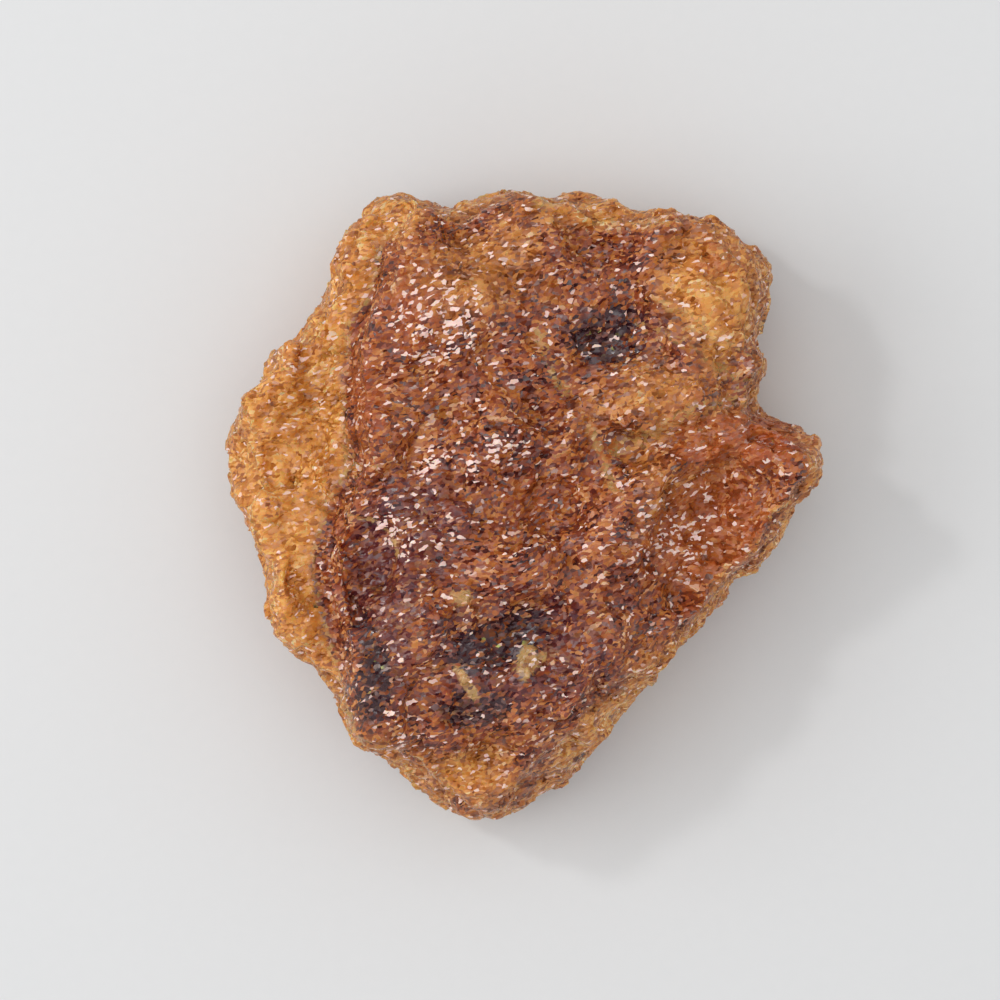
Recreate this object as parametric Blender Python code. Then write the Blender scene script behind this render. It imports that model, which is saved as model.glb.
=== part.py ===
"""A raw fragment of byelorussite, about 5 mm across, as one solid.

The stone lies on its flat cleavage face. +Z is up, +Y runs from the narrow toe to the broad
top edge, and +X points to the wing. The shape is worked out in millimetres and is scaled to
metres at the end. A ball of small triangles is moved vertex by vertex: first to the plan
outline and the relief seen from above, then along its normals to the broken grain.
"""

import math
from dataclasses import dataclass

import bmesh
import bpy
import numpy as np
from mathutils import Matrix, Vector, noise

STONE_NAME = "byelorussite_fragment"
MM = 0.001

# Driving heights above the resting plane
PLATEAU_HEIGHT = 2.02
LEDGE_DROP = 0.52
EQUATOR_HEIGHT = 0.84
UNDERSIDE_DEPTH = 0.32

# Fall of the plateau towards +X and towards +Y, in mm per mm
PLATEAU_FALL_X = 0.085
PLATEAU_FALL_Y = 0.035

# The point that the outline is measured round, and how finely its reach is tabulated
PLAN_CENTRE = Vector((-0.116, 0.04))
OUTLINE_STEPS = 720
OUTLINE_ROUNDING_STEPS = 1.6

# The outline seen from above, anticlockwise, by the stretches that make it
OUTLINE = {
    "wing": [(2.20, 0.04), (2.39, 0.26), (2.41, 0.36), (2.36, 0.53), (2.24, 0.63)],
    "notch": [(1.88, 0.76), (1.80, 0.84), (1.95, 1.05), (1.96, 1.13), (1.86, 1.33)],
    "upper right lobe": [(1.98, 1.62), (2.00, 1.75), (1.92, 2.00), (1.74, 2.21), (1.48, 2.39), (1.30, 2.41)],
    "top edge": [(1.01, 2.40), (0.54, 2.48), (0.39, 2.54), (0.28, 2.53), (0.16, 2.44), (-0.01, 2.54), (-0.28, 2.48)],
    "saddle": [(-0.50, 2.43), (-0.62, 2.41), (-0.78, 2.48), (-1.05, 2.54)],
    "upper left shoulder": [(-1.33, 2.38), (-1.44, 2.24), (-1.49, 2.03), (-1.70, 1.65), (-1.85, 1.52)],
    "ledge side": [(-1.94, 1.34), (-2.06, 1.29), (-2.33, 0.82), (-2.41, 0.49), (-2.38, 0.04), (-2.32, -0.08)],
    "lower left flank": [(-2.22, -0.43), (-2.18, -0.80), (-2.08, -1.02), (-1.90, -1.20), (-1.68, -1.34)],
    "lower left chip": [(-1.51, -1.62), (-1.50, -1.78), (-1.41, -1.92), (-0.99, -2.28), (-0.84, -2.36)],
    "toe": [(-0.65, -2.51), (-0.50, -2.54), (-0.22, -2.51), (0.07, -2.38)],
    "lower right flank": [(0.63, -1.91), (0.79, -1.66), (1.00, -1.44), (1.09, -1.27), (1.35, -1.07), (1.61, -0.87)],
    "wing underside": [(1.73, -0.61), (1.93, -0.45), (2.07, -0.23)],
}

# The foot of the step between the low left ledge and the plateau, from the top edge to the toe
STEP_LINE = [
    (-1.02, 2.75), (-1.04, 2.30), (-1.16, 1.90), (-1.24, 1.62), (-1.38, 1.35), (-1.44, 1.05),
    (-1.44, 0.62), (-1.39, 0.28), (-1.52, 0.05), (-1.64, -0.25), (-1.69, -0.55), (-1.59, -0.86),
    (-1.50, -1.18), (-1.43, -1.52), (-1.36, -1.80), (-1.10, -2.08), (-0.70, -2.36), (-0.40, -2.80),
]
STEP_BEVEL = 0.11

# The valley that runs in from the notch
VALLEY_LINE = [(2.05, 0.92), (1.72, 0.86), (1.30, 0.66), (0.92, 0.50), (0.55, 0.20)]
VALLEY_DEPTH = 0.11
VALLEY_HALF_WIDTH = 0.13

# The ramp down to the toe, along -Y
TOE_TOP_Y = -1.45
TOE_END_Y = -2.55
TOE_DROP = 0.42

# Width of the rounded lip between the wall and the top, at bearings in degrees anticlockwise from +X
LIP_WIDTHS = {
    0: 0.24, 18: 0.13, 40: 0.20, 62: 0.17, 90: 0.13, 112: 0.16, 140: 0.22, 180: 0.26, 215: 0.24,
    240: 0.16, 262: 0.24, 285: 0.46, 300: 0.52, 325: 0.44, 345: 0.38,
}
# How far the underside draws in below the widest level, at the same kind of bearings
UNDERCUTS = {0: 1.30, 45: 0.75, 100: 1.15, 150: 0.65, 195: 1.35, 240: 0.90, 275: 1.40, 320: 0.85}
EQUATOR_SWAY = 0.20

# The ball: its subdivisions, and the latitude in degrees up to which its vertices make the wall
BALL_SUBDIVISIONS = 6
WALL_LATITUDE = 27.0

# Cleavage layers that show on the walls
LAYER_HEIGHT = 0.24
LAYER_RECESS = 0.085
LAYER_TILT = Vector((0.10, -0.06))

# Broken grain: size of the pieces, how far each stands out, and how much of it the widest level keeps
GRAINS = ((0.62, 0.13), (0.30, 0.07))
LUMP_SIZE = 1.00
LUMP_HEIGHT = 0.12
SMOOTHING_ROUNDS = 1
EQUATOR_GRAIN = 0.40
EQUATOR_BAND = 0.30
UNDERSIDE_GRAIN = 0.35

TRIANGLES = 6000
COLOUR = (0.30, 0.085, 0.022, 1.0)
ROUGHNESS = 0.42


@dataclass(frozen=True)
class Swell:
    """A rounded rise of the top surface, or a hollow where its height is negative."""

    x: float
    y: float
    length: float
    width: float
    turn: float
    height: float

    def rise(self, x, y):
        """Height that the swell adds at the plan points x and y."""
        turn = math.radians(self.turn)
        along = (x - self.x) * math.cos(turn) + (y - self.y) * math.sin(turn)
        across = (y - self.y) * math.cos(turn) - (x - self.x) * math.sin(turn)
        away = (along / self.length) ** 2 + (across / self.width) ** 2
        return self.height * np.exp(-(away**1.5))


SWELLS = {
    "bowl beside the wing": Swell(1.38, -0.30, 0.66, 0.36, 55, -0.40),
    "head of the bowl": Swell(1.05, -0.72, 0.32, 0.24, 20, -0.16),
    "wing tip": Swell(2.10, 0.34, 0.30, 0.24, 20, 0.10),
    "wing back": Swell(1.45, 0.34, 0.50, 0.16, 8, 0.09),
    "upper right lobe": Swell(1.48, 1.72, 0.42, 0.52, 10, 0.11),
    "lobe edge hollow": Swell(1.62, 1.12, 0.22, 0.20, 0, -0.14),
    "crest by the step": Swell(-0.78, 1.38, 0.36, 0.58, -8, 0.12),
    "top saddle": Swell(-0.52, 2.30, 0.34, 0.26, 0, -0.10),
    "low terrace by the step": Swell(-1.34, -0.48, 0.27, 0.40, 0, -0.17),
    "dark upper pit": Swell(0.67, 1.32, 0.34, 0.25, -15, -0.13),
    "dark lower pit": Swell(-0.24, -0.98, 0.46, 0.24, 18, -0.13),
    "pale knob": Swell(0.00, -1.26, 0.10, 0.17, 15, 0.09),
    "pale rib": Swell(-0.44, -1.38, 0.20, 0.08, -50, 0.07),
    "middle knoll": Swell(-0.24, 0.45, 0.24, 0.16, 20, 0.08),
    "upper dip": Swell(0.12, 1.75, 0.44, 0.30, 35, -0.09),
    "middle dip": Swell(-0.10, -0.15, 0.55, 0.22, 12, -0.08),
    "ledge pan": Swell(-1.85, 0.62, 0.24, 0.46, -12, -0.09),
    "ledge rise": Swell(-1.90, -0.55, 0.22, 0.40, 10, 0.08),
    "toe dimple": Swell(-0.62, -2.20, 0.20, 0.12, 40, -0.08),
}


def clear_scene():
    """Removes whatever the scene holds."""
    for existing in list(bpy.data.objects):
        bpy.data.objects.remove(existing, do_unlink=True)


def smooth_step(value, low, high):
    """0 below low, 1 above high, with an eased rise between them."""
    share = np.clip((value - low) / (high - low), 0.0, 1.0)
    return share * share * (3.0 - 2.0 * share)


def round_table(by_bearing):
    """Values given at bearings in degrees, made ready for interpolation round the full circle."""
    bearings = sorted(by_bearing)
    values = [by_bearing[b] for b in bearings]
    wrapped = [bearings[-1] - 360.0, *bearings, bearings[0] + 360.0]
    return np.radians(wrapped), np.array([values[-1], *values, values[0]])


def outline_table():
    """Bearing and reach of the outline round PLAN_CENTRE, with its corners slightly rounded."""
    corners = np.array([point for stretch in OUTLINE.values() for point in stretch])
    offsets = corners - np.array(PLAN_CENTRE)
    following = np.roll(offsets, -1, axis=0)
    bearings = np.linspace(0.0, 2.0 * math.pi, OUTLINE_STEPS, endpoint=False)
    reach = np.zeros(OUTLINE_STEPS)
    for start, end in zip(offsets, following):
        side = end - start
        ray_x, ray_y = np.cos(bearings), np.sin(bearings)
        crossing = ray_x * side[1] - ray_y * side[0]
        crossing = np.where(np.abs(crossing) < 1e-9, 1e-9, crossing)
        distance = (start[0] * side[1] - start[1] * side[0]) / crossing
        share = (start[0] * ray_y - start[1] * ray_x) / crossing
        met = (distance > 0.0) & (share >= 0.0) & (share <= 1.0)
        reach = np.where(met, np.maximum(reach, distance), reach)
    spread = np.arange(-6, 7)
    weights = np.exp(-0.5 * (spread / OUTLINE_ROUNDING_STEPS) ** 2)
    weights /= weights.sum()
    rounded = sum(weight * np.roll(reach, shift) for weight, shift in zip(weights, spread))
    return np.append(bearings, 2.0 * math.pi), np.append(rounded, rounded[0])


def distance_to_line(x, y, line):
    """Distance from each plan point to a run of straight pieces, and on which side it lies."""
    nearest = np.full(x.shape, np.inf)
    side = np.zeros(x.shape)
    for (ax, ay), (bx, by) in zip(line, line[1:]):
        run_x, run_y = bx - ax, by - ay
        share = ((x - ax) * run_x + (y - ay) * run_y) / (run_x**2 + run_y**2)
        share = np.clip(share, 0.0, 1.0)
        off_x, off_y = x - ax - share * run_x, y - ay - share * run_y
        distance = np.hypot(off_x, off_y)
        closer = distance < nearest
        nearest = np.where(closer, distance, nearest)
        side = np.where(closer, np.sign(run_x * off_y - run_y * off_x), side)
    return nearest, side


def relief(x, y):
    """Height of the stone's top surface over the plan points x and y, before its broken grain."""
    top = PLATEAU_HEIGHT - PLATEAU_FALL_X * x - PLATEAU_FALL_Y * y
    away, side = distance_to_line(x, y, STEP_LINE)
    # The line runs down the stone, so the ledge is on its right-hand side.
    above_step = smooth_step(side * away, -0.2 * STEP_BEVEL, STEP_BEVEL)
    top -= LEDGE_DROP * (1.0 - above_step)
    in_valley = distance_to_line(x, y, VALLEY_LINE)[0] / VALLEY_HALF_WIDTH
    top -= VALLEY_DEPTH * np.exp(-(in_valley**2))
    top -= TOE_DROP * smooth_step(-y, -TOE_TOP_Y, -TOE_END_Y)
    return top + sum(swell.rise(x, y) for swell in SWELLS.values())


def moved_to_plan(directions):
    """Places the ball's unit directions on the stone, with walls, top and underside still smooth."""
    bearing = np.mod(np.arctan2(directions[:, 1], directions[:, 0]), 2.0 * math.pi)
    latitude = np.degrees(np.arcsin(np.clip(directions[:, 2], -1.0, 1.0)))
    is_top = latitude >= 0.0
    reach = np.interp(bearing, *outline_table())
    lip = np.interp(bearing, *round_table(LIP_WIDTHS))
    undercut = np.interp(bearing, *round_table(UNDERCUTS))
    # The wall takes a quarter turn up to the lip, and the rest of the ball covers the flat part.
    turn = np.radians(np.clip(np.abs(latitude) / WALL_LATITUDE, 0.0, 1.0) * 90.0)
    band = np.where(is_top, lip, undercut)
    flat_share = 1.0 - np.cos(np.radians(latitude)) / math.cos(math.radians(WALL_LATITUDE))
    inward = np.where(
        np.abs(latitude) < WALL_LATITUDE,
        band * (1.0 - np.cos(turn)),
        band + (reach - band) * np.clip(flat_share, 0.0, 1.0),
    )
    x = PLAN_CENTRE.x + (reach - inward) * np.cos(bearing)
    y = PLAN_CENTRE.y + (reach - inward) * np.sin(bearing)
    sway = np.sin(2.0 * bearing + 0.7) + 0.6 * np.sin(5.0 * bearing + 2.1)
    equator = EQUATOR_HEIGHT + EQUATOR_SWAY * sway - 0.25 * smooth_step(-y, 1.4, 2.4)
    end = np.where(is_top, relief(x, y), -UNDERSIDE_DEPTH)
    height = equator + (end - equator) * np.sin(turn)
    return np.column_stack([x, y, height])


def layer_recess(point):
    """How far a wall point stands back in the soft part of its cleavage layer."""
    level = point.z + LAYER_TILT.x * point.x + LAYER_TILT.y * point.y
    level += 0.10 * noise.noise(point * 1.3)
    share = (level / LAYER_HEIGHT) % 1.0
    strength = 0.5 + 0.9 * noise.noise(point * 0.9 + Vector((4.0, 1.0, 2.0)))
    return LAYER_RECESS * max(strength, 0.0) * (1.0 - share) ** 2


def grain_height(point, size, height):
    """Tilted flat of the broken grain that the point lies on, higher at one side than the other."""
    warped = point + 0.35 * size * noise.noise_vector(point / size)
    _, centres = noise.voronoi(warped / size)
    centre = Vector(centres[0])
    slope = noise.cell_vector(centre * 7.3 + Vector((0.5, 0.5, 0.5))) - Vector((0.5, 0.5, 0.5))
    lift = noise.cell(centre * 5.1 + Vector((9.5, 3.5, 1.5))) - 0.5
    return height * (1.5 * (warped / size - centre).dot(slope) + 0.8 * lift)


def roughened(mesh, equator_weight):
    """Moves each vertex along its normal to the lumps, broken grain and layers of the stone."""
    normals = [vertex.normal.copy() for vertex in mesh.vertices]
    for vertex, normal, weight in zip(mesh.vertices, normals, equator_weight.tolist()):
        point = vertex.co.copy()
        lump = LUMP_HEIGHT * noise.fractal(point / LUMP_SIZE, 1.0, 2.0, 3)
        grain = sum(grain_height(point, size, height) for size, height in GRAINS)
        wall = 1.0 - min(abs(normal.z) / 0.7, 1.0)
        offset = weight * (lump + grain) - wall * layer_recess(point)
        vertex.co = point + normal * offset


def broken_ball():
    """The stone's closed surface in millimetres, still whole on its underside."""
    ball = bmesh.new()
    bmesh.ops.create_icosphere(ball, subdivisions=BALL_SUBDIVISIONS, radius=1.0)
    mesh = bpy.data.meshes.new(STONE_NAME)
    ball.to_mesh(mesh)
    ball.free()
    directions = np.empty(len(mesh.vertices) * 3, np.float32)
    mesh.vertices.foreach_get("co", directions)
    directions = directions.reshape(-1, 3).astype(float)
    placed = moved_to_plan(directions)
    mesh.vertices.foreach_set("co", placed.astype(np.float32).ravel())
    mesh.update()
    height = directions[:, 2]
    flat_grain = np.where(height > 0.0, 1.0, UNDERSIDE_GRAIN)
    weight = EQUATOR_GRAIN + (flat_grain - EQUATOR_GRAIN) * smooth_step(np.abs(height), 0.0, EQUATOR_BAND)
    roughened(mesh, weight)
    return mesh


def cleave_underside(mesh):
    """Cuts the stone on the resting plane and closes the cut with one flat face."""
    body = bmesh.new()
    body.from_mesh(mesh)
    for _ in range(SMOOTHING_ROUNDS):
        bmesh.ops.smooth_vert(
            body, verts=body.verts, factor=0.5, use_axis_x=True, use_axis_y=True, use_axis_z=True
        )
    whole =list(body.verts) + list(body.edges) + list(body.faces)
    cut = bmesh.ops.bisect_plane(
        body, geom=whole, plane_co=(0, 0, 0), plane_no=(0, 0, -1), clear_outer=True
    )
    rim = [part for part in cut["geom_cut"] if isinstance(part, bmesh.types.BMEdge)]
    bmesh.ops.holes_fill(body, edges=rim, sides=0)
    bmesh.ops.triangulate(body, faces=list(body.faces))
    bmesh.ops.recalc_face_normals(body, faces=list(body.faces))
    if body.calc_volume(signed=True) < 0.0:
        bmesh.ops.reverse_faces(body, faces=list(body.faces))
    body.to_mesh(mesh)
    body.free()


def reduced(stone):
    """The stone's mesh with its triangles thinned out where the surface is plain."""
    thinning = stone.modifiers.new("fewer triangles", "DECIMATE")
    thinning.ratio = TRIANGLES / len(stone.data.polygons)
    bpy.context.view_layer.update()
    evaluated = stone.evaluated_get(bpy.context.evaluated_depsgraph_get())
    mesh = bpy.data.meshes.new_from_object(evaluated)
    stone.modifiers.remove(thinning)
    return mesh


def settle_on_origin(mesh):
    """Centres the box on the Z axis, stands it on Z = 0 and turns millimetres into metres."""
    corners = np.empty(len(mesh.vertices) * 3, np.float32)
    mesh.vertices.foreach_get("co", corners)
    corners = corners.reshape(-1, 3)
    low, high = corners.min(axis=0), corners.max(axis=0)
    middle = (low + high) / 2.0
    mesh.transform(Matrix.Translation((-middle[0], -middle[1], -low[2])))
    mesh.transform(Matrix.Scale(MM, 4))


def stone_material():
    """The red-brown of the fragment, as a plain dielectric."""
    material = bpy.data.materials.new("red_brown_byelorussite")
    material.use_nodes = True
    shader = material.node_tree.nodes["Principled BSDF"]
    shader.inputs["Base Color"].default_value = COLOUR
    shader.inputs["Roughness"].default_value = ROUGHNESS
    shader.inputs["Metallic"].default_value = 0.0
    material.diffuse_color = COLOUR
    return material


def main():
    """Builds the stone in a collection of its own."""
    clear_scene()
    collection = bpy.data.collections.new("raw_byelorussite")
    bpy.context.scene.collection.children.link(collection)
    mesh = broken_ball()
    cleave_underside(mesh)
    stone = bpy.data.objects.new(STONE_NAME, mesh)
    collection.objects.link(stone)
    stone.data = reduced(stone)
    settle_on_origin(stone.data)
    stone.data.materials.append(stone_material())


main()
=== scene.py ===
"""The finished looks of a raw byelorussite fragment, lying on its flat face on a pale floor.

The stone's outer surface is one fine mesh over the solid. Its colours come from named patches,
lines and a grain of small glinting splinters, all worked out from formulas. Some of them are painted
light: painted highlights and glints, a painted glow on the thin edges, walls and ledge, and a painted
bluish sheen in the purple. Plan positions are in millimetres in the stone's own frame, with +X to the
wing and +Y to the broad top edge.
"""

import logging
import math
from dataclasses import dataclass, field
from enum import Enum, IntEnum

import bmesh
import bpy
import numpy as np
from mathutils import Matrix, Vector, noise


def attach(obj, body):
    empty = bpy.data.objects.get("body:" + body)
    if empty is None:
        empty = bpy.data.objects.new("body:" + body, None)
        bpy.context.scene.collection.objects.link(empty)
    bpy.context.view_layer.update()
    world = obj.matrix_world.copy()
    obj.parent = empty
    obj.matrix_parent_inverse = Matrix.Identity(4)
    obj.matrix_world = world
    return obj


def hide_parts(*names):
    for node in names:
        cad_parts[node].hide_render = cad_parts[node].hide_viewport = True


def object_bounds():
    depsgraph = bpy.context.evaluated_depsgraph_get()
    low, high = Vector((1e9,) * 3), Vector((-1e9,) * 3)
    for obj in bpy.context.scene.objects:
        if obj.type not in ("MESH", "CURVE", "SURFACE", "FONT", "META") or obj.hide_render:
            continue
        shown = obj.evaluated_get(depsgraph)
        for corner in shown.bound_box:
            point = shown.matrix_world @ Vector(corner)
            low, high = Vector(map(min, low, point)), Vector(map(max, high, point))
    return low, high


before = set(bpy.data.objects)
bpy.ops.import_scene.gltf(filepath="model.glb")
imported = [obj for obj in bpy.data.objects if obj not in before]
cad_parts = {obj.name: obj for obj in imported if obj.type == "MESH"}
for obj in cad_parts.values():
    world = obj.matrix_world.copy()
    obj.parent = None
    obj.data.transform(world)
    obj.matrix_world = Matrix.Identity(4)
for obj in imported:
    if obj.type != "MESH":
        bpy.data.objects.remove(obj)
CAD_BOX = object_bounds()

MM = 0.001
NODE = "byelorussite_fragment"

Colour = tuple[float, float, float, float]
Points = list[tuple[float, float]]
Band = tuple[float, float]
Socket = bpy.types.NodeSocket
Value = Socket | float | Colour

WHITE: Colour = (1.0, 1.0, 1.0, 1.0)
MIDDLE = (0.5, 0.5, 0.5)
DEGREES_ROUND = 360

log = logging.getLogger("fragment")


class Tint(Enum):
    """The kinds of colour area on the stone, each kept as a value on the mesh's points; the painted
    highlight areas are painted light.
    """

    PALE = "pale"
    DARK = "dark"
    PURPLE = "purple"
    GLASSY = "glassy"
    CREAM = "cream"
    BRIGHT = "painted_highlight"


class Chance(IntEnum):
    """The three random values that each splinter has, by their place in its random colour."""

    FIRST = 0
    SECOND = 1
    THIRD = 2


def eased(value: np.ndarray, low: float, high: float) -> np.ndarray:
    """Eased rise from 0 at low to 1 at high.

    Args:
        value: the numbers to grade.
        low: where the rise starts.
        high: where it ends.

    Returns:
        The graded numbers, from 0 to 1.
    """
    share = np.clip((value - low) / (high - low), 0.0, 1.0)
    return share * share * (3.0 - 2.0 * share)


@dataclass(frozen=True)
class Patch:
    """An oval colour area seen from above, in millimetres and degrees."""

    x: float
    y: float
    length: float
    width: float
    turn: float
    strength: float
    edge_power: float = 1.6

    def cover(self, x: np.ndarray, y: np.ndarray) -> np.ndarray:
        """How strongly the patch covers each point.

        Args:
            x: plan positions along X.
            y: plan positions along Y.

        Returns:
            Cover from 0 to the patch's strength.
        """
        turn = math.radians(self.turn)
        along = (x - self.x) * math.cos(turn) + (y - self.y) * math.sin(turn)
        across = (y - self.y) * math.cos(turn) - (x - self.x) * math.sin(turn)
        away = (along / self.length) ** 2 + (across / self.width) ** 2
        return self.strength * np.exp(-(away**self.edge_power))


@dataclass(frozen=True)
class Vein:
    """A thin pale line over the stone, in millimetres."""

    points: Points
    half_width: float
    strength: float

    def cover(self, x: np.ndarray, y: np.ndarray) -> np.ndarray:
        """How strongly the vein covers each point.

        Args:
            x: plan positions along X.
            y: plan positions along Y.

        Returns:
            Cover from 0 to the vein's strength.
        """
        away = signed_distance(x, y, self.points)
        return self.strength * np.exp(-((away / self.half_width) ** 2))


def signed_distance(x: np.ndarray, y: np.ndarray, line: Points) -> np.ndarray:
    """Distance of points to a line of straight pieces, positive on its left.

    Args:
        x: plan positions along X.
        y: plan positions along Y.
        line: the corners of the line, in order.

    Returns:
        Distances in millimetres, negative on the right of the line.
    """
    nearest = np.full(x.shape, np.inf)
    signed = np.zeros(x.shape)
    for (ax, ay), (bx, by) in zip(line, line[1:]):
        run_x, run_y = bx - ax, by - ay
        share = np.clip(((x - ax) * run_x + (y - ay) * run_y) / (run_x**2 + run_y**2), 0.0, 1.0)
        off_x, off_y = x - ax - share * run_x, y - ay - share * run_y
        distance = np.hypot(off_x, off_y)
        side = np.where(run_x * off_y - run_y * off_x < 0.0, -1.0, 1.0)
        signed = np.where(distance < nearest, side * distance, signed)
        nearest = np.minimum(nearest, distance)
    return signed


# The foot of the step from the plateau down to the left ledge, from the top edge to the toe.
STEP_FOOT: Points = [
    (-1.02, 2.75), (-1.04, 2.30), (-1.16, 1.90), (-1.24, 1.62), (-1.38, 1.35), (-1.44, 1.05),
    (-1.44, 0.62), (-1.39, 0.28), (-1.52, 0.05), (-1.64, -0.25), (-1.69, -0.55), (-1.59, -0.86),
    (-1.50, -1.18), (-1.43, -1.52), (-1.36, -1.80), (-1.10, -2.08), (-0.70, -2.36), (-0.40, -2.80),
]

# Where each kind of colour area, and each painted highlight area, lies on the stone's top, seen from above.
AREAS: dict[Tint, list[Patch | Vein]] = {
    Tint.PALE: [
        Patch(1.52, 1.72, 0.45, 0.62, 0, 0.84),
        Patch(1.80, 1.84, 0.20, 0.50, -10, 0.60),
        Patch(0.60, 2.32, 0.85, 0.16, 0, 0.60),
        Patch(-0.44, -2.20, 0.62, 0.28, 0, 0.50),
        Patch(0.68, -1.76, 0.70, 0.22, 46, 0.85),
        Patch(1.32, -1.08, 0.50, 0.12, 40, 0.55),
        Patch(2.32, 0.36, 0.16, 0.30, 0, 0.50),
        Patch(0.98, 0.78, 0.55, 0.34, 10, 0.42),
        Patch(-1.08, 2.28, 0.30, 0.24, 0, 0.85),
        Patch(-0.36, 1.80, 0.55, 0.50, 20, 0.34),
        Patch(1.10, 0.20, 0.45, 0.30, 30, 0.30),
    ],
    Tint.DARK: [
        Patch(0.64, 1.32, 0.31, 0.26, 0, 0.84),
        Patch(-0.20, -1.08, 0.46, 0.22, 20, 0.90),
        Patch(-1.20, -1.38, 0.15, 0.34, 0, 0.95),
        Patch(-0.36, -1.58, 0.32, 0.18, 0, 0.70),
        Patch(-1.28, -0.98, 0.12, 0.22, 0, 0.60),
    ],
    # Purple areas: dark grain, with a painted bluish sheen in its purple tint.
    Tint.PURPLE: [
        Patch(-1.10, -0.76, 0.34, 0.90, 0, 0.85),
        Patch(-0.84, -0.12, 0.48, 0.45, 0, 0.65),
        Patch(-0.04, -1.16, 0.95, 0.55, 10, 0.60),
        Patch(0.95, 1.32, 0.38, 0.32, 0, 0.45),
        Patch(0.28, 1.96, 0.55, 0.30, 0, 0.18),
        Patch(0.30, 0.30, 0.80, 0.40, 0, 0.25),
    ],
    Tint.GLASSY: [
        Patch(1.40, -0.20, 0.58, 0.42, 50, 0.95),
        Patch(1.72, 0.50, 0.60, 0.26, 5, 0.85),
        Patch(-0.92, 1.64, 0.32, 0.60, 0, 0.45),
        Patch(-1.24, 0.84, 0.20, 0.50, 0, 0.55),
        Patch(0.16, 0.06, 0.45, 0.22, 15, 0.50),
        Patch(1.56, 1.94, 0.26, 0.20, 0, 0.65),
    ],
    Tint.CREAM: [
        Vein([(1.74, 0.90), (1.30, 0.70), (0.92, 0.52), (0.60, 0.28)], 0.080, 0.42),
        Vein([(0.12, 1.34), (0.18, 1.10), (0.30, 0.90)], 0.060, 0.50),
        Vein([(0.52, 0.54), (0.62, 0.32), (0.66, 0.10)], 0.060, 0.50),
        Vein([(0.92, 1.42), (1.26, 1.22), (1.74, 0.98)], 0.060, 0.42),
        Vein([(1.02, 1.66), (1.40, 1.40), (1.78, 1.18)], 0.050, 0.42),
        Vein([(-1.42, -0.06), (-1.22, -0.10), (-1.07, -0.24), (-1.03, -0.42)], 0.022, 0.62),
        Vein(STEP_FOOT, 0.045, 0.45),
        Patch(0.00, -1.24, 0.085, 0.13, 15, 1.00),
        Patch(0.11, -1.22, 0.045, 0.045, 0, 1.00),
        Patch(-0.44, -1.40, 0.18, 0.06, -50, 0.85),
        Patch(-0.50, -0.74, 0.09, 0.07, 0, 0.80),
        Patch(0.16, 2.40, 0.12, 0.10, 0, 0.90),
        Patch(-1.42, 2.14, 0.05, 0.10, -20, 0.80),
    ],
    # Painted highlights: crests and splinters that catch the light from the upper left, painted in as
    # pinkish-white glints.
    Tint.BRIGHT: [
        Patch(-0.14, 0.44, 0.16, 0.11, 20, 1.00),
        Patch(-0.76, 0.32, 0.11, 0.11, 0, 0.90),
        Patch(-0.44, 0.28, 0.11, 0.09, 0, 0.80),
        Patch(-0.68, 1.44, 0.30, 0.34, 20, 0.80),
        Patch(-0.90, -0.20, 0.30, 0.25, 0, 0.55),
        Patch(1.25, -0.20, 0.35, 0.35, 0, 0.45),
        Patch(-0.95, -1.75, 0.20, 0.20, 0, 0.50),
    ],
}


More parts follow.
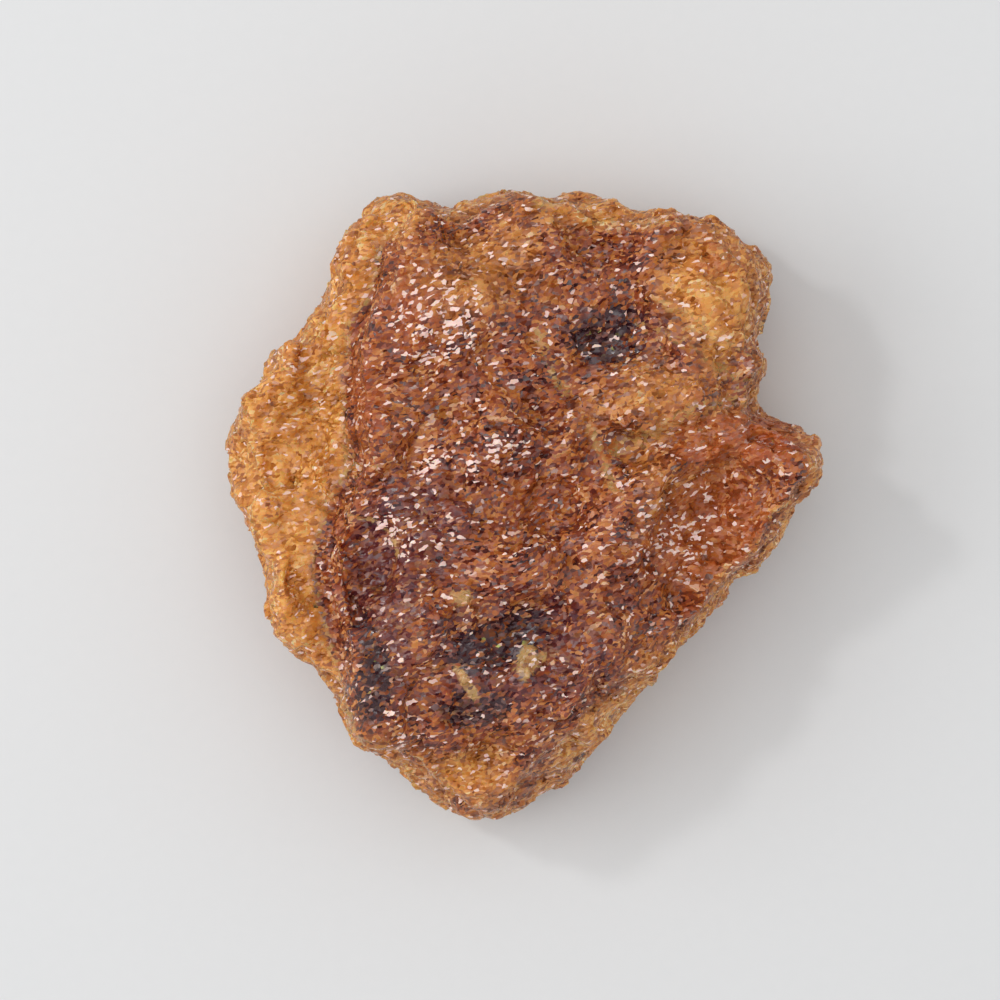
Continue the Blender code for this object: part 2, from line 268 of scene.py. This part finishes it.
class Sheet:
    """A material's nodes, with short ways to add and join them."""

    MIX_UNDER = 6
    MIX_OVER = 7
    MIX_RESULT = 2

    def __init__(self, name: str) -> None:
        """Starts a material with a plain shader.

        Args:
            name: the material's name.
        """
        self.material = bpy.data.materials.new(name)
        self.material.use_nodes = True
        self.nodes = self.material.node_tree.nodes
        self.links = self.material.node_tree.links
        self.shader = self.nodes["Principled BSDF"]

    def add(self, kind: str, **settings: object) -> bpy.types.Node:
        """Adds a node.

        Args:
            kind: Blender's name of the node.
            settings: the node's own settings by name.

        Returns:
            The new node.
        """
        node = self.nodes.new(kind)
        for key, value in settings.items():
            setattr(node, key, value)
        return node

    def feed(self, target: Socket, value: Value) -> None:
        """Joins a socket to a target, or sets the target to a plain value.

        Args:
            target: the input socket.
            value: an output socket, a number or a colour.
        """
        if isinstance(value, Socket):
            self.links.new(value, target)
        else:
            target.default_value = value

    def combined(self, operation: str, first: Value, second: Value) -> Socket:
        """Joins two values by an arithmetic operation, kept between 0 and 1.

        Args:
            operation: Blender's name of the operation.
            first: a socket or number.
            second: a socket or number.

        Returns:
            The result's socket.
        """
        node = self.add("ShaderNodeMath", operation=operation, use_clamp=True)
        self.feed(node.inputs[0], first)
        self.feed(node.inputs[1], second)
        return node.outputs[0]

    def plus(self, first: Value, second: Value) -> Socket:
        """Sum of two values, kept between 0 and 1."""
        return self.combined("ADD", first, second)

    def minus(self, first: Value, second: Value) -> Socket:
        """First value less the second, kept between 0 and 1."""
        return self.combined("SUBTRACT", first, second)

    def times(self, first: Value, second: Value) -> Socket:
        """Product of two values, kept between 0 and 1."""
        return self.combined("MULTIPLY", first, second)

    def channels(self, colour: Socket) -> bpy.types.bpy_prop_collection:
        """Takes a colour apart.

        Args:
            colour: the colour's socket.

        Returns:
            The sockets of its red, green and blue.
        """
        node = self.add("ShaderNodeSeparateColor")
        self.feed(node.inputs[0], colour)
        return node.outputs

    def mix(self, share: Value, under: Value, over: Value) -> Socket:
        """Lays one colour over another.

        Args:
            share: how much of the upper colour shows.
            under: the lower colour or its socket.
            over: the upper colour or its socket.

        Returns:
            The mixed colour's socket.
        """
        node = self.add("ShaderNodeMix", data_type="RGBA")
        self.feed(node.inputs[0], share)
        self.feed(node.inputs[self.MIX_UNDER], under)
        self.feed(node.inputs[self.MIX_OVER], over)
        return node.outputs[self.MIX_RESULT]

    def ramp(self, share: Socket, stops: dict[float, Colour]) -> Socket:
        """Turns a value into a colour by a row of stops.

        Args:
            share: the value's socket.
            stops: colours by the value that they stand at.

        Returns:
            The colour's socket.
        """
        node = self.add("ShaderNodeValToRGB")
        elements = node.color_ramp.elements
        places = sorted(stops)
        elements[0].position, elements[1].position = places[0], places[-1]
        for place in places[1:-1]:
            elements.new(place)
        for element, place in zip(elements, places):
            element.color = stops[place]
        self.feed(node.inputs[0], share)
        return node.outputs[0]

    def level(self, share: Socket, band: Band) -> Socket:
        """Eased rise of a value from 0 to 1 over a band.

        Args:
            share: the value's socket.
            band: where the rise starts and ends.

        Returns:
            The graded value's socket.
        """
        node = self.add("ShaderNodeMapRange", interpolation_type="SMOOTHSTEP")
        self.feed(node.inputs[0], share)
        node.inputs["From Min"].default_value, node.inputs["From Max"].default_value = band
        return node.outputs[0]

    def spread(self, share: Socket, band: Band) -> Socket:
        """Even rise over a band, as a value goes from 0 to 1.

        Args:
            share: the value's socket.
            band: the result at 0 and at 1.

        Returns:
            The graded value's socket.
        """
        node = self.add("ShaderNodeMapRange")
        self.feed(node.inputs[0], share)
        node.inputs["To Min"].default_value, node.inputs["To Max"].default_value = band
        return node.outputs[0]


@dataclass(frozen=True)
class Layer:
    """A tone over the grain where its tint lies, with an edge broken up by a chance of the grain."""

    tint: Tint
    tone: Colour
    most: float
    chance: Chance


@dataclass(frozen=True)
class StoneFinish:
    """Red-brown translucent grain of small glinting splinters, with painted glints in its colour."""

    splinter_mm: tuple[float, float, float] = (0.042, 0.023, 0.028)
    splinter_turn: float = 15.0
    splinter_tilt: float = 1.15
    splinter_share: float = 0.70
    ripples_mm: tuple[Band, ...] = ((0.70, 0.20), (0.060, 0.042))
    flake_mm: float = 0.13
    flake_tilt: float = 0.50
    flake_share: float = 0.30
    cloud_mm: float = 0.45
    cloud_detail: float = 5.0
    cloud_roughness: float = 0.62
    cloud_band: Band = (0.36, 0.66)
    cloud_share: float = 0.30
    pale_band: Band = (0.15, 0.95)
    broken_gain: float = 1.6
    broken_loss: float = 0.85
    broken_band: Band = (0.05, 0.60)
    # Painted glints: the lift given by the painted highlight areas, and the band of splinter chance that
    # turns to the painted glint tone.
    painted_glint_boost: float = 0.30
    painted_glint_band: Band = (0.93, 1.00)
    # Where painted yellow-green glints show: deep in the dark patches, on a few splinters.
    green_cover_band: Band = (0.70, 0.95)
    green_chance_band: Band = (0.955, 0.98)
    roughness: Band = (0.14, 0.48)
    refraction: float = 1.56
    glow_weight: float = 0.34
    glow_depth: float = 0.00034
    glow_radius: tuple[float, float, float] = (1.0, 0.36, 0.14)
    # Grain tones from dark to light; the lightest, pinkish stop stands for painted glints on the lightest
    # splinters.
    core_tones: dict[float, Colour] = field(default_factory=lambda: {
        0.06: (0.030, 0.005, 0.008, 1), 0.25: (0.110, 0.016, 0.009, 1), 0.48: (0.270, 0.050, 0.013, 1),
        0.70: (0.450, 0.125, 0.022, 1), 0.86: (0.640, 0.250, 0.065, 1), 0.97: (0.900, 0.540, 0.340, 1),
    })
    pale_tones: dict[float, Colour] = field(default_factory=lambda: {
        0.00: (0.270, 0.066, 0.010, 1), 0.30: (0.500, 0.165, 0.024, 1), 0.60: (0.690, 0.275, 0.048, 1),
        0.83: (0.850, 0.430, 0.110, 1), 0.96: (0.960, 0.700, 0.360, 1),
    })
    layers: tuple[Layer, ...] = (
        Layer(Tint.GLASSY, (0.430, 0.092, 0.016, 1), 0.62, Chance.THIRD),
        # Purple layer: dark grain with a painted bluish sheen.
        Layer(Tint.PURPLE, (0.090, 0.015, 0.026, 1), 0.66, Chance.SECOND),
        Layer(Tint.DARK, (0.028, 0.007, 0.014, 1), 0.92, Chance.SECOND),
        Layer(Tint.CREAM, (0.660, 0.400, 0.150, 1), 0.72, Chance.THIRD),
    )
    # Pinkish-white colour of the painted glints.
    painted_glint_tone: Colour = (0.900, 0.640, 0.560, 1)
    # Yellow-green colour of the painted glints in the dark patches.
    painted_green_glint: Colour = (0.620, 0.640, 0.180, 1)

    def made(self) -> bpy.types.Material:
        """Makes the stone's material.

        Returns:
            The material.
        """
        sheet = Sheet("byelorussite_grain")
        splinter = self.cells(sheet, self.splinter_mm)
        flake = self.cells(sheet, (self.flake_mm,) * 3)
        chances = sheet.channels(splinter)
        flake_part = sheet.times(sheet.channels(flake)[Chance.FIRST], self.flake_share)
        tone = sheet.plus(sheet.times(chances[Chance.FIRST], self.splinter_share), flake_part)
        sheet.feed(sheet.shader.inputs["Base Color"], self.coloured(sheet, tone, chances))
        sheet.feed(sheet.shader.inputs["Normal"], self.tilted(sheet, splinter, flake))
        sheet.feed(sheet.shader.inputs["Roughness"], sheet.spread(chances[Chance.SECOND], self.roughness))
        sheet.shader.inputs["IOR"].default_value = self.refraction
        sheet.shader.inputs["Subsurface Weight"].default_value = self.glow_weight
        sheet.shader.inputs["Subsurface Radius"].default_value = self.glow_radius
        sheet.shader.inputs["Subsurface Scale"].default_value = self.glow_depth
        return sheet.material

    def coloured(self, sheet: Sheet, tone: Socket, chances: bpy.types.bpy_prop_collection) -> Socket:
        """The grain's colour, with the tinted areas, painted glints and painted green glints over it.

        Args:
            sheet: the material's nodes.
            tone: a random value by grain, from dark to light.
            chances: the splinters' random values.

        Returns:
            The colour's socket.
        """
        cover = {
            tint: sheet.add("ShaderNodeAttribute", attribute_name=tint.value).outputs["Fac"] for tint in Tint
        }
        paler = sheet.plus(cover[Tint.PALE], sheet.times(self.clouds(sheet), self.cloud_share))
        core, pale = sheet.ramp(tone, self.core_tones), sheet.ramp(tone, self.pale_tones)
        colour = sheet.mix(sheet.level(paler, self.pale_band), core, pale)
        for layer in self.layers:
            share = self.broken(sheet, cover[layer.tint], chances[layer.chance], layer.most)
            colour = sheet.mix(share, colour, layer.tone)
        # Painted highlights: splinters turn pinkish-white by chance, more often in the painted highlight
        # areas.
        painted_glint_share = sheet.plus(sheet.times(cover[Tint.BRIGHT], self.painted_glint_boost), chances[Chance.THIRD])
        colour = sheet.mix(sheet.level(painted_glint_share, self.painted_glint_band), colour, self.painted_glint_tone)
        # Painted yellow-green glints on a few splinters deep in the dark patches.
        green_cover = sheet.level(cover[Tint.DARK], self.green_cover_band)
        green = sheet.times(green_cover, sheet.level(chances[Chance.FIRST], self.green_chance_band))
        return sheet.mix(green, colour, self.painted_green_glint)

    def cells(self, sheet: Sheet, size_mm: tuple[float, ...]) -> Socket:
        """Random colour for each splinter-shaped cell of a given size.

        Args:
            sheet: the material's nodes.
            size_mm: length, width and height of a cell.

        Returns:
            The random colour's socket.
        """
        place = sheet.add("ShaderNodeTexCoord").outputs["Object"]
        mapping = sheet.add("ShaderNodeMapping", vector_type="TEXTURE")
        mapping.inputs["Rotation"].default_value = (0.0, 0.0, math.radians(self.splinter_turn))
        mapping.inputs["Scale"].default_value = tuple(size * MM for size in size_mm)
        for size, reach in self.ripples_mm:
            place = self.rippled(sheet, place, size, reach)
        sheet.feed(mapping.inputs["Vector"], place)
        cell = sheet.add("ShaderNodeTexVoronoi")
        cell.inputs["Scale"].default_value = 1.0
        sheet.feed(cell.inputs["Vector"], mapping.outputs[0])
        return cell.outputs["Color"]

    def rippled(self, sheet: Sheet, place: Socket, size: float, reach: float) -> Socket:
        """Shifts positions by an uneven amount, so that the grain isn't straight or regular.

        Args:
            sheet: the material's nodes.
            place: the position's socket.
            size: width of the unevenness, in millimetres.
            reach: how far it shifts, in millimetres.

        Returns:
            The shifted position's socket.
        """
        ripple = sheet.add("ShaderNodeTexNoise")
        ripple.inputs["Scale"].default_value = 1.0 / (size * MM)
        ripple.inputs["Detail"].default_value = 1.0
        sheet.feed(ripple.inputs["Vector"], sheet.add("ShaderNodeTexCoord").outputs["Object"])
        shift = sheet.add("ShaderNodeVectorMath", operation="MULTIPLY_ADD")
        sheet.feed(shift.inputs[0], ripple.outputs["Color"])
        shift.inputs[1].default_value = (reach * MM,) * 3
        sheet.feed(shift.inputs[2], place)
        return shift.outputs[0]

    def clouds(self, sheet: Sheet) -> Socket:
        """Soft uneven areas some tenths of a millimetre wide.

        Args:
            sheet: the material's nodes.

        Returns:
            A value from 0 to 1.
        """
        cloud = sheet.add("ShaderNodeTexNoise")
        cloud.inputs["Scale"].default_value = 1.0 / (self.cloud_mm * MM)
        cloud.inputs["Detail"].default_value = self.cloud_detail
        cloud.inputs["Roughness"].default_value = self.cloud_roughness
        sheet.feed(cloud.inputs["Vector"], sheet.add("ShaderNodeTexCoord").outputs["Object"])
        return sheet.level(cloud.outputs[0], self.cloud_band)

    def broken(self, sheet: Sheet, cover: Socket, grain: Socket, most: float) -> Socket:
        """A cover whose edge breaks up into single grains.

        Args:
            sheet: the material's nodes.
            cover: the even cover's socket.
            grain: a random value by grain.
            most: the largest share that it reaches.

        Returns:
            The broken cover's socket.
        """
        grown = sheet.times(cover, self.broken_gain)
        rough_cover = sheet.minus(grown, sheet.times(grain, self.broken_loss))
        return sheet.times(sheet.level(rough_cover, self.broken_band), most)

    def tilted(self, sheet: Sheet, splinter: Socket, flake: Socket) -> Socket:
        """The surface's direction, with each splinter and each flake tilted its own way.

        Args:
            sheet: the material's nodes.
            splinter: random colour by splinter.
            flake: random colour by flake.

        Returns:
            The direction's socket.
        """
        facing = sheet.add("ShaderNodeNewGeometry").outputs["Normal"]
        for cell, tilt in ((splinter, self.splinter_tilt), (flake, self.flake_tilt)):
            centred = sheet.add("ShaderNodeVectorMath", operation="SUBTRACT")
            sheet.feed(centred.inputs[0], cell)
            centred.inputs[1].default_value = MIDDLE
            scaled = sheet.add("ShaderNodeVectorMath", operation="SCALE")
            sheet.feed(scaled.inputs[0], centred.outputs[0])
            scaled.inputs["Scale"].default_value = tilt
            joined = sheet.add("ShaderNodeVectorMath", operation="ADD")
            sheet.feed(joined.inputs[0], facing)
            sheet.feed(joined.inputs[1], scaled.outputs[0])
            facing = joined.outputs[0]
        unit = sheet.add("ShaderNodeVectorMath", operation="NORMALIZE")
        sheet.feed(unit.inputs[0], facing)
        return unit.outputs[0]


@dataclass(frozen=True)
class FloorFinish:
    """Matt pale grey of the surface below the stone."""

    colour: Colour = (0.695, 0.702, 0.708, 1)
    mottling: float = 0.02
    specks_per_metre: float = 9000.0
    roughness: float = 0.85
    shine: float = 0.2

    def made(self) -> bpy.types.Material:
        """Makes the floor's material.

        Returns:
            The material.
        """
        sheet = Sheet("pale_floor")
        speck = sheet.add("ShaderNodeTexNoise")
        speck.inputs["Scale"].default_value = self.specks_per_metre
        sheet.feed(speck.inputs["Vector"], sheet.add("ShaderNodeTexCoord").outputs["Object"])
        darker = tuple(value * (1.0 - self.mottling) for value in self.colour[:3]) + (1,)
        sheet.feed(sheet.shader.inputs["Base Color"], sheet.mix(speck.outputs[0], self.colour, darker))
        sheet.shader.inputs["Roughness"].default_value = self.roughness
        sheet.shader.inputs["Specular IOR Level"].default_value = self.shine
        return sheet.material


@dataclass(frozen=True)
class Chips:
    """Small tilted facets of one size, in millimetres."""

    width: float
    height: float
    bend: float = 0.35
    slope: float = 1.5
    step: float = 0.4
    slope_draw: float = 7.3
    step_draw: float = 5.1
    step_draw_start: tuple[float, float, float] = (9.5, 3.5, 1.5)

    def rise(self, point: Vector) -> float:
        """How far the facet under a point stands out.

        Args:
            point: the position, in millimetres.

        Returns:
            The height, in millimetres.
        """
        warped = point / self.width + self.bend * noise.noise_vector(point / self.width)
        centre = Vector(noise.voronoi(warped)[1][0])
        slope = noise.cell_vector(centre * self.slope_draw) - Vector(MIDDLE)
        step = self.step * noise.cell(centre * self.step_draw + Vector(self.step_draw_start))
        return self.height * (self.slope * (warped - centre).dot(slope) + step)


@dataclass(frozen=True)
class Staining:
    """How the tints lie over the stone, on its top and down its walls, in millimetres, with a painted glow
    on the walls and along the edges.
    """

    wobbles_per_mm: float = 3.0
    wobble_reach: float = 0.07
    top_band: Band = (0.75, 1.15)
    cream_band: Band = (1.35, 1.60)
    # Left ledge: paler stone, and partly a painted glow of light through the thin ledge.
    ledge_tone_and_glow: float = 0.72
    ledge_band: Band = (-0.04, 0.06)
    drifts_per_mm: float = 1.1
    drift_fading: float = 0.9
    drift_growth: float = 2.0
    drift_octaves: int = 3
    # Paler walls: a painted glow of light through the thin sides, with random changes of tone.
    painted_wall_glow: float = 0.42
    wall_wobble: float = 0.35
    wall_drift: float = 0.9
    wall_spots: float = 0.8
    dark_spot_band: Band = (0.38, 0.65)
    # Paler rim along the outline: a painted glow of light through the thin edges.
    glassy_spot_band: Band = (0.05, 0.35)
    painted_edge_glow: float = 0.70
    edge_width: float = 0.16

    def covers(self, points: np.ndarray) -> dict[Tint, np.ndarray]:
        """Works out how strongly each tint covers each point.

        Args:
            points: the stone's positions.

        Returns:
            Each tint's cover, before it is kept between 0 and 1.
        """
        wobble = np.array([noise.noise_vector(Vector(p) * self.wobbles_per_mm) for p in points])
        drift = np.array([self.drift(Vector(p)) for p in points])
        x = points[:, 0] + self.wobble_reach * wobble[:, 0]
        y = points[:, 1] + self.wobble_reach * wobble[:, 1]
        on_top = eased(points[:, 2], *self.top_band)
        on_wall = 1.0 - on_top
        cover = {
            tint: on_top * np.max([area.cover(x, y) for area in areas], axis=0)
            for tint, areas in AREAS.items()
        }
        cover[Tint.CREAM] *= eased(points[:, 2], *self.cream_band)
        # Left ledge: paler stone, and partly a painted glow of light through the thin ledge.
        ledge = self.ledge_tone_and_glow * eased(-signed_distance(x, y, STEP_FOOT), *self.ledge_band)
        # Paler walls: a painted glow of light through the thin sides, with random changes of tone.
        wall = on_wall * (self.painted_wall_glow + self.wall_wobble * wobble[:, 2] + self.wall_drift * drift)
        # Paler rim along the outline: a painted glow of light through the thin edges.
        edge = self.painted_edge_glow * np.exp(-inset(points) / self.edge_width)
        cover[Tint.PALE] = np.max([cover[Tint.PALE], ledge, wall, edge], axis=0)
        dark_spots = self.wall_spots * on_wall * eased(wobble[:, 1], *self.dark_spot_band)
        cover[Tint.DARK] = np.maximum(cover[Tint.DARK], dark_spots)
        glassy_spots = self.wall_spots * on_wall * eased(-drift, *self.glassy_spot_band)
        cover[Tint.GLASSY] = np.maximum(cover[Tint.GLASSY], glassy_spots)
        return cover

    def drift(self, point: Vector) -> float:
        """Slow uneven change of tone from place to place."""
        place = point * self.drifts_per_mm
        return noise.fractal(place, self.drift_fading, self.drift_growth, self.drift_octaves)


def inset(points: np.ndarray) -> np.ndarray:
    """How far inside the outline seen from above each point lies.

    Args:
        points: the stone's positions.

    Returns:
        Distances towards the middle, in millimetres.
    """
    bearing = np.degrees(np.arctan2(points[:, 1], points[:, 0])).astype(int) % DEGREES_ROUND
    reach = np.hypot(points[:, 0], points[:, 1])
    furthest = np.zeros(DEGREES_ROUND)
    np.maximum.at(furthest, bearing, reach)
    return furthest[bearing] - reach


@dataclass
class Fragment:
    """The stone's visible surface, in millimetres until it is finished."""

    name: str = "byelorussite_surface"
    weld: float = 0.0002
    voxel: float = 0.0285
    chips: tuple[Chips, ...] = (Chips(0.20, 0.040), Chips(0.100, 0.024))
    base_band: float = 0.10
    overhang: float = 0.02
    staining: Staining = field(default_factory=Staining)
    finish: StoneFinish = field(default_factory=StoneFinish)

    def build(self) -> bpy.types.Object:
        """Makes, colours and places the stone.

        Returns:
            The stone's object, in metres.
        """
        mesh = self.even_mesh()
        points = self.chipped(mesh)
        self.colour_points(mesh, points)
        mesh.transform(Matrix.Scale(MM, 4))
        mesh.shade_smooth()
        mesh.materials.clear()
        mesh.materials.append(self.finish.made())
        stone = bpy.data.objects.new(self.name, mesh)
        bpy.context.scene.collection.objects.link(stone)
        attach(stone, "root")
        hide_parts(NODE)
        return stone

    def even_mesh(self) -> bpy.types.Mesh:
        """A fine even mesh over the solid.

        Returns:
            The mesh, in millimetres.
        """
        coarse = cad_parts[NODE].data.copy()
        coarse.transform(Matrix.Scale(1.0 / MM, 4))
        welded = bmesh.new()
        welded.from_mesh(coarse)
        bmesh.ops.remove_doubles(welded, verts=welded.verts, dist=self.weld)
        welded.to_mesh(coarse)
        welded.free()
        carrier = bpy.data.objects.new("even_grid", coarse)
        bpy.context.scene.collection.objects.link(carrier)
        remesh = carrier.modifiers.new("even grid", "REMESH")
        remesh.mode = "VOXEL"
        remesh.voxel_size = self.voxel
        bpy.context.view_layer.update()
        evaluated = carrier.evaluated_get(bpy.context.evaluated_depsgraph_get())
        fine = bpy.data.meshes.new_from_object(evaluated)
        bpy.data.objects.remove(carrier)
        return fine

    def chipped(self, mesh: bpy.types.Mesh) -> np.ndarray:
        """Moves the mesh's points to small tilted chips and keeps them inside the solid's box.

        Args:
            mesh: the even mesh.

        Returns:
            The new positions, one row for each point.
        """
        count = len(mesh.vertices)
        points = np.empty(count * 3, np.float32)
        mesh.vertices.foreach_get("co", points)
        points = points.reshape(-1, 3).astype(float)
        normals = np.empty(count * 3, np.float32)
        mesh.vertices.foreach_get("normal", normals)
        normals = normals.reshape(-1, 3).astype(float)
        heights = np.array([sum(chip.rise(Vector(p)) for chip in self.chips) for p in points])
        heights *= eased(points[:, 2], 0.0, self.base_band)
        points += normals * heights[:, None]
        low, high = (np.array(corner) / MM for corner in CAD_BOX)
        points = np.clip(points, low - [self.overhang, self.overhang, 0.0], high + self.overhang)
        mesh.vertices.foreach_set("co", points.astype(np.float32).ravel())
        mesh.update()
        return points

    def colour_points(self, mesh: bpy.types.Mesh, points: np.ndarray) -> None:
        """Keeps each tint's cover on the mesh's points.

        Args:
            mesh: the stone's mesh.
            points: its positions.
        """
        for tint, values in self.staining.covers(points).items():
            attribute = mesh.attributes.new(tint.value, "FLOAT", "POINT")
            attribute.data.foreach_set("value", np.clip(values, 0.0, 1.0).astype(np.float32))


@dataclass(frozen=True)
class Lamp:
    """A square lamp that faces the stone, in metres and watts."""

    name: str
    place: tuple[float, float, float]
    width: float
    power: float

    def hang(self) -> None:
        """Puts the lamp in the scene."""
        light = bpy.data.lights.new(self.name, "AREA")
        light.size = self.width
        light.energy = self.power
        lamp = bpy.data.objects.new(self.name, light)
        lamp.location = self.place
        lamp.rotation_euler = Vector(self.place).to_track_quat("Z", "Y").to_euler()
        bpy.context.scene.collection.objects.link(lamp)


@dataclass
class Studio:
    """Floor, soft light from the left and above, and a camera straight above."""

    field_mm: float = 8.0
    view_centre_mm: tuple[float, float] = (-0.196, 0.040)
    focus_height_mm: float = 1.0
    camera_height: float = 0.05
    nearest_seen: float = 0.001
    sensor_mm: float = 36.0
    floor_reach: float = 0.5
    sky: float = 0.65
    lamps: tuple[Lamp, ...] = (
        Lamp("soft_key", (-0.046, 0.002, 0.042), 0.038, 0.0112),
        Lamp("overhead", (0.002, 0.008, 0.062), 0.050, 0.0085),
        Lamp("sparkle", (-0.034, 0.020, 0.052), 0.006, 0.0050),
    )
    finish: FloorFinish = field(default_factory=FloorFinish)

    def build(self) -> None:
        """Makes the floor, lights and camera."""
        self.floor()
        for lamp in self.lamps:
            lamp.hang()
        self.surroundings()
        self.camera()

    def floor(self) -> None:
        """Lays the floor at the stone's resting face."""
        mesh = bpy.data.meshes.new("floor")
        made = bmesh.new()
        bmesh.ops.create_grid(made, x_segments=1, y_segments=1, size=self.floor_reach)
        made.to_mesh(mesh)
        made.free()
        mesh.materials.append(self.finish.made())
        floor = bpy.data.objects.new("floor", mesh)
        bpy.context.scene.collection.objects.link(floor)

    def surroundings(self) -> None:
        """Lights the scene evenly from all round, in plain white."""
        world = bpy.data.worlds.new("pale_room")
        world.use_nodes = True
        background = world.node_tree.nodes["Background"]
        background.inputs["Color"].default_value = WHITE
        background.inputs["Strength"].default_value = self.sky
        bpy.context.scene.world = world
        bpy.context.scene.view_settings.view_transform = "Standard"

    def camera(self) -> None:
        """Looks straight down on the stone with a long lens."""
        lens = bpy.data.cameras.new("camera")
        lens.sensor_width = self.sensor_mm
        reach_mm = self.camera_height / MM - self.focus_height_mm
        lens.lens = self.sensor_mm * reach_mm / self.field_mm
        lens.clip_start = self.nearest_seen
        camera = bpy.data.objects.new("camera", lens)
        centre_x, centre_y = self.view_centre_mm
        camera.location = (centre_x * MM, centre_y * MM, self.camera_height)
        bpy.context.scene.collection.objects.link(camera)
        bpy.context.scene.camera = camera


def main() -> None:
    """Builds the stone and the studio round it."""
    logging.basicConfig(level=logging.INFO, format="%(message)s")
    stone = Fragment().build()
    log.info("%s: %d faces", stone.name, len(stone.data.polygons))
    studio = Studio()
    studio.build()
    log.info("studio: floor, %d lamps and camera", len(studio.lamps))


if __name__ == "__main__":
    main()
